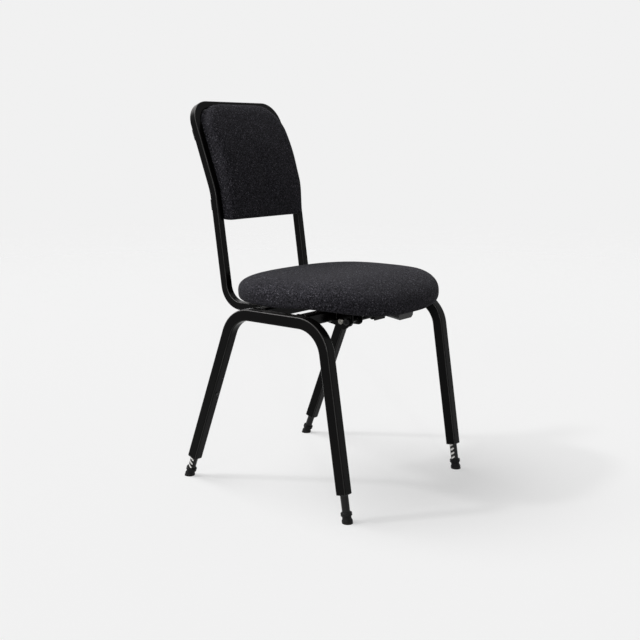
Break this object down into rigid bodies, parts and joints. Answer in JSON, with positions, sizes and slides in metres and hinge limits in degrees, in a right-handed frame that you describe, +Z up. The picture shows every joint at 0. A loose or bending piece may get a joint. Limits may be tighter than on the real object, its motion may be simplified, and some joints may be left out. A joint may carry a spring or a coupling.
{
  "type": "choir chair",
  "caption": "Choir chair with black square-tube frame, notched telescopic legs, tilting upholstered seat and curved upholstered back pad.",
  "frame": {"origin": "on the floor, under the middle of the bounding box", "axes": "+Z up, -Y towards the front of the seat, +X towards the side at the right hand of someone who looks along +Y from the front"},
  "size_m": [0.455, 0.5296, 0.8582],
  "materials": {
    "black_steel": "satin",
    "rod_steel": "satin",
    "bright_steel": "satin",
    "black_rubber": "matte",
    "black_plastic": "matte",
    "plywood": "matte",
    "charcoal_fabric": "matte"
  },
  "bodies": {
    "frame": {"side_frame_left": "black_steel", "side_frame_right": "black_steel", "front_cross_tube": "black_steel", "rear_cross_tube": "black_steel", "back_frame": "black_steel", "pivot_lug_left": "black_steel", "pivot_lug_right": "black_steel", "seat_buffers": "black_rubber", "leg_bush_front_left": "black_plastic", "leg_bush_front_right": "black_plastic", "leg_bush_rear_left": "black_plastic", "leg_bush_rear_right": "black_plastic", "lock_springs_front_left": "bright_steel", "lock_springs_front_right": "bright_steel", "lock_springs_rear_left": "bright_steel", "lock_springs_rear_right": "bright_steel", "back_tabs": "black_steel", "back_board": "plywood", "back_cushion": "charcoal_fabric", "back_rear_panel": "black_plastic", "back_screws": "bright_steel", "pivot_bolts": "bright_steel", "pivot_nuts": "bright_steel"},
    "seat": {"seat_board": "plywood", "seat_cushion": "charcoal_fabric", "seat_carrier_left": "black_steel", "seat_carrier_right": "black_steel", "seat_screws": "bright_steel"},
    "tilt_lever": {"clamp_rod": "rod_steel", "clamp_nuts": "black_plastic", "lever_stem": "black_steel", "lever_grip": "black_plastic"},
    "leg_front_left": {"leg_rod_front_left": "rod_steel", "rod_guide_front_left": "black_plastic", "foot_front_left": "black_rubber"},
    "lock_front_left": {"lock_button_front_left": "black_plastic", "lock_fork_front_left": "bright_steel"},
    "leg_front_right": {"leg_rod_front_right": "rod_steel", "rod_guide_front_right": "black_plastic", "foot_front_right": "black_rubber"},
    "lock_front_right": {"lock_button_front_right": "black_plastic", "lock_fork_front_right": "bright_steel"},
    "leg_rear_left": {"leg_rod_rear_left": "rod_steel", "rod_guide_rear_left": "black_plastic", "foot_rear_left": "black_rubber"},
    "lock_rear_left": {"lock_button_rear_left": "black_plastic", "lock_fork_rear_left": "bright_steel"},
    "leg_rear_right": {"leg_rod_rear_right": "rod_steel", "rod_guide_rear_right": "black_plastic", "foot_rear_right": "black_rubber"},
    "lock_rear_right": {"lock_button_rear_right": "black_plastic", "lock_fork_rear_right": "bright_steel"}
  },
  "joints": [
    {"name": "seat_tilt", "type": "hinge", "parent": "frame", "child": "seat", "pos_m": [0, -0.14719, 0.3918], "axis": [1, 0, 0], "range_deg": [0, 8]},
    {"name": "tilt_lever_pull", "type": "hinge", "parent": "seat", "child": "tilt_lever", "pos_m": [0, -0.16459, 0.3918], "axis": [1, 0, 0], "range_deg": [0, 20]},
    {"name": "leg_front_left_slide", "type": "slide", "parent": "frame", "child": "leg_front_left", "axis": [0, -0.1547, -0.988], "range_m": [-0.03, 0.04]},
    {"name": "lock_front_left_press", "type": "slide", "parent": "frame", "child": "lock_front_left", "axis": [0, -0.988, 0.1547], "range_m": [0, 0.001], "stiffness_N_per_m": 1500, "springref_m": -0.002},
    {"name": "leg_front_right_slide", "type": "slide", "parent": "frame", "child": "leg_front_right", "axis": [0, -0.1547, -0.988], "range_m": [-0.03, 0.04]},
    {"name": "lock_front_right_press", "type": "slide", "parent": "frame", "child": "lock_front_right", "axis": [0, -0.988, 0.1547], "range_m": [0, 0.001], "stiffness_N_per_m": 1500, "springref_m": -0.002},
    {"name": "leg_rear_left_slide", "type": "slide", "parent": "frame", "child": "leg_rear_left", "axis": [0, 0.3584, -0.9336], "range_m": [-0.03, 0.04]},
    {"name": "lock_rear_left_press", "type": "slide", "parent": "frame", "child": "lock_rear_left", "axis": [0, 0.9336, 0.3584], "range_m": [0, 0.001], "stiffness_N_per_m": 1500, "springref_m": -0.002},
    {"name": "leg_rear_right_slide", "type": "slide", "parent": "frame", "child": "leg_rear_right", "axis": [0, 0.3584, -0.9336], "range_m": [-0.03, 0.04]},
    {"name": "lock_rear_right_press", "type": "slide", "parent": "frame", "child": "lock_rear_right", "axis": [0, 0.9336, 0.3584], "range_m": [0, 0.001], "stiffness_N_per_m": 1500, "springref_m": -0.002}
  ]
}
